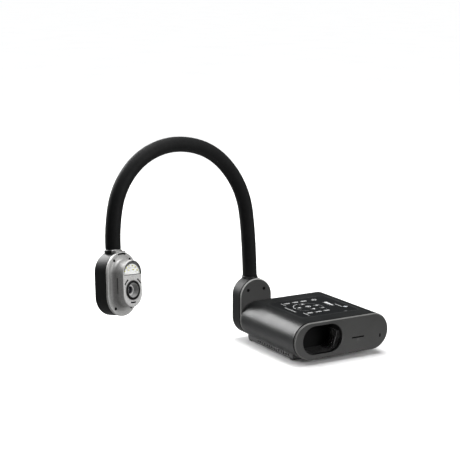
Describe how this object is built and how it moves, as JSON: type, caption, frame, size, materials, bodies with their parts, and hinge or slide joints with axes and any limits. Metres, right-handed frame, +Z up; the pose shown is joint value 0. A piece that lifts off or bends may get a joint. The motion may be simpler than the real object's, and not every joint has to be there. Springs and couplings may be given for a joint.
{
  "type": "document camera",
  "caption": "Classroom document camera with a rounded desktop base, key panel, bendable arching neck and a camera head with a lamp window and a recessed lens.",
  "frame": {"origin": "centre of the slab's outline, on the table plane under the plinth", "axes": "+Z up; the front end plate with the dock opening faces -Y; the neck stands at the rear left and arches towards -X"},
  "size_m": [0.5191, 0.2235, 0.3957],
  "materials": {
    "shell": "satin",
    "panel": "satin",
    "end_plate": "matte",
    "liner": "matte",
    "plinth": "matte",
    "foot_rubber": "matte",
    "steel": "satin",
    "ballast": "matte",
    "board": "satin",
    "brass": "satin",
    "heat_sink": "satin",
    "socket_metal": "satin",
    "status_light": "gloss",
    "key_black": "satin",
    "clamp": "matte",
    "collar": "satin",
    "harness": "matte",
    "head_silver": "satin",
    "lamp_window": "gloss",
    "white_board": "satin",
    "lamp_chip": "gloss",
    "lens_black": "gloss",
    "barrel_silver": "satin",
    "lens_glass": "gloss",
    "module": "matte",
    "neck_sleeve": "matte"
  },
  "bodies": {
    "base": {"base_shell": "shell", "control_panel_overlay": "panel", "front_end_plate": "end_plate", "dock_liner": "liner", "rear_end_plate": "end_plate", "bottom_cover": "plinth", "rubber_feet": "foot_rubber", "base_screws": "steel", "ballast_plate": "ballast", "main_board": "board", "board_fixings": "brass", "heat_sink": "heat_sink", "sd_card_socket": "socket_metal", "rear_sockets": "socket_metal", "keypad_board": "board", "dome_switches": "steel", "status_led": "status_light", "knuckle_front_cover": "end_plate", "knuckle_housing": "shell", "knuckle_screws": "steel", "neck_clamp": "clamp", "lower_collar": "collar", "base_harness": "harness"},
    "rear_key_left": {"rear_key_left": "key_black"},
    "rear_key_middle": {"rear_key_middle": "key_black"},
    "rear_key_right": {"rear_key_right": "key_black"},
    "power_key": {"power_key": "key_black"},
    "nav_up_key": {"nav_up_key": "key_black"},
    "nav_left_key": {"nav_left_key": "key_black"},
    "nav_enter_key": {"nav_enter_key": "key_black"},
    "nav_right_key": {"nav_right_key": "key_black"},
    "nav_down_key": {"nav_down_key": "key_black"},
    "return_key": {"return_key": "key_black"},
    "front_key_left": {"front_key_left": "key_black"},
    "front_key_middle": {"front_key_middle": "key_black"},
    "front_key_right": {"front_key_right": "key_black"},
    "zoom_rocker": {"zoom_rocker": "key_black"},
    "neck_link_01": {"neck_link_01": "neck_sleeve"},
    "neck_link_02": {"neck_link_02": "neck_sleeve"},
    "neck_link_03": {"neck_link_03": "neck_sleeve"},
    "neck_link_04": {"neck_link_04": "neck_sleeve"},
    "neck_link_05": {"neck_link_05": "neck_sleeve"},
    "neck_link_06": {"neck_link_06": "neck_sleeve"},
    "neck_link_07": {"neck_link_07": "neck_sleeve"},
    "neck_link_08": {"neck_link_08": "neck_sleeve"},
    "neck_link_09": {"neck_link_09": "neck_sleeve"},
    "neck_link_10": {"neck_link_10": "neck_sleeve"},
    "head": {"head_front_cover": "head_silver", "head_rear_housing": "shell", "head_collar": "collar", "lamp_window": "lamp_window", "lamp_bezel": "lens_black", "lamp_board": "white_board", "lamp_chips": "lamp_chip", "lens_ring": "lens_black", "lens_barrel": "barrel_silver", "lens_glass": "lens_glass", "camera_module": "module", "head_screws": "steel", "sensor_window": "lens_black"}
  },
  "joints": [
    {"name": "rear_key_left_press", "type": "slide", "parent": "base", "child": "rear_key_left", "axis": [0, 0, -1], "range_m": [0, 0.0009], "stiffness_N_per_m": 700},
    {"name": "rear_key_middle_press", "type": "slide", "parent": "base", "child": "rear_key_middle", "axis": [0, 0, -1], "range_m": [0, 0.0009], "stiffness_N_per_m": 700},
    {"name": "rear_key_right_press", "type": "slide", "parent": "base", "child": "rear_key_right", "axis": [0, 0, -1], "range_m": [0, 0.0009], "stiffness_N_per_m": 700},
    {"name": "power_key_press", "type": "slide", "parent": "base", "child": "power_key", "axis": [0, 0, -1], "range_m": [0, 0.0009], "stiffness_N_per_m": 700},
    {"name": "nav_up_key_press", "type": "slide", "parent": "base", "child": "nav_up_key", "axis": [0, 0, -1], "range_m": [0, 0.0009], "stiffness_N_per_m": 700},
    {"name": "nav_left_key_press", "type": "slide", "parent": "base", "child": "nav_left_key", "axis": [0, 0, -1], "range_m": [0, 0.0009], "stiffness_N_per_m": 700},
    {"name": "nav_enter_key_press", "type": "slide", "parent": "base", "child": "nav_enter_key", "axis": [0, 0, -1], "range_m": [0, 0.0009], "stiffness_N_per_m": 700},
    {"name": "nav_right_key_press", "type": "slide", "parent": "base", "child": "nav_right_key", "axis": [0, 0, -1], "range_m": [0, 0.0009], "stiffness_N_per_m": 700},
    {"name": "nav_down_key_press", "type": "slide", "parent": "base", "child": "nav_down_key", "axis": [0, 0, -1], "range_m": [0, 0.0009], "stiffness_N_per_m": 700},
    {"name": "return_key_press", "type": "slide", "parent": "base", "child": "return_key", "axis": [0, 0, -1], "range_m": [0, 0.0009], "stiffness_N_per_m": 700},
    {"name": "front_key_left_press", "type": "slide", "parent": "base", "child": "front_key_left", "axis": [0, 0, -1], "range_m": [0, 0.0009], "stiffness_N_per_m": 700},
    {"name": "front_key_middle_press", "type": "slide", "parent": "base", "child": "front_key_middle", "axis": [0, 0, -1], "range_m": [0, 0.0009], "stiffness_N_per_m": 700},
    {"name": "front_key_right_press", "type": "slide", "parent": "base", "child": "front_key_right", "axis": [0, 0, -1], "range_m": [0, 0.0009], "stiffness_N_per_m": 700},
    {"name": "zoom_rocker_tilt", "type": "hinge", "parent": "base", "child": "zoom_rocker", "pos_m": [0.035, 0.0018, 0.075], "axis": [1, 0, 0], "range_deg": [-2.5, 2.5], "stiffness_Nm_per_rad": 0.35},
    {"name": "neck_swing", "type": "hinge", "parent": "base", "child": "neck_link_01", "pos_m": [-0.0665, 0.116, 0.1185], "axis": [0, 0, 1], "range_deg": [-60, 45]},
    {"name": "lower_bend_1", "type": "hinge", "parent": "neck_link_01", "child": "neck_link_02", "pos_m": [-0.06957, 0.1153, 0.17866], "axis": [0.2233, -0.9748, 0], "range_deg": [-12, 4]},
    {"name": "lower_bend_2", "type": "hinge", "parent": "neck_link_02", "child": "neck_link_03", "pos_m": [-0.07607, 0.11381, 0.23853], "axis": [0.2233, -0.9748, 0], "range_deg": [-12, 4]},
    {"name": "lower_bend_3", "type": "hinge", "parent": "neck_link_03", "child": "neck_link_04", "pos_m": [-0.09593, 0.10926, 0.29482], "axis": [0.2233, -0.9748, 0], "range_deg": [-12, 4]},
    {"name": "middle_bend_1", "type": "hinge", "parent": "neck_link_04", "child": "neck_link_05", "pos_m": [-0.13364, 0.10062, 0.34068], "axis": [0.2233, -0.9748, 0], "range_deg": [-10, 7]},
    {"name": "middle_bend_2", "type": "hinge", "parent": "neck_link_05", "child": "neck_link_06", "pos_m": [-0.18409, 0.08907, 0.37086], "axis": [0.2233, -0.9748, 0], "range_deg": [-10, 7]},
    {"name": "middle_bend_3", "type": "hinge", "parent": "neck_link_06", "child": "neck_link_07", "pos_m": [-0.24153, 0.07591, 0.38221], "axis": [0.2233, -0.9748, 0], "range_deg": [-10, 7]},
    {"name": "upper_bend_1", "type": "hinge", "parent": "neck_link_07", "child": "neck_link_08", "pos_m": [-0.29918, 0.06271, 0.37284], "axis": [0.2233, -0.9748, 0], "range_deg": [-12, 10]},
    {"name": "upper_bend_2", "type": "hinge", "parent": "neck_link_08", "child": "neck_link_09", "pos_m": [-0.34736, 0.05167, 0.33944], "axis": [0.2233, -0.9748, 0], "range_deg": [-12, 10]},
    {"name": "upper_bend_3", "type": "hinge", "parent": "neck_link_09", "child": "neck_link_10", "pos_m": [-0.37376, 0.04563, 0.28639], "axis": [0.2233, -0.9748, 0], "range_deg": [-12, 10]},
    {"name": "head_twist", "type": "hinge", "parent": "neck_link_10", "child": "head", "pos_m": [-0.37928, 0.04437, 0.22654], "axis": [0.0492, 0.1474, 0.9878], "range_deg": [-90, 90]}
  ],
  "couplings": [
    {"joint": "lower_bend_2", "follows": "lower_bend_1", "ratio": 1},
    {"joint": "lower_bend_3", "follows": "lower_bend_1", "ratio": 1},
    {"joint": "middle_bend_2", "follows": "middle_bend_1", "ratio": 1},
    {"joint": "middle_bend_3", "follows": "middle_bend_1", "ratio": 1},
    {"joint": "upper_bend_2", "follows": "upper_bend_1", "ratio": 1},
    {"joint": "upper_bend_3", "follows": "upper_bend_1", "ratio": 1}
  ]
}
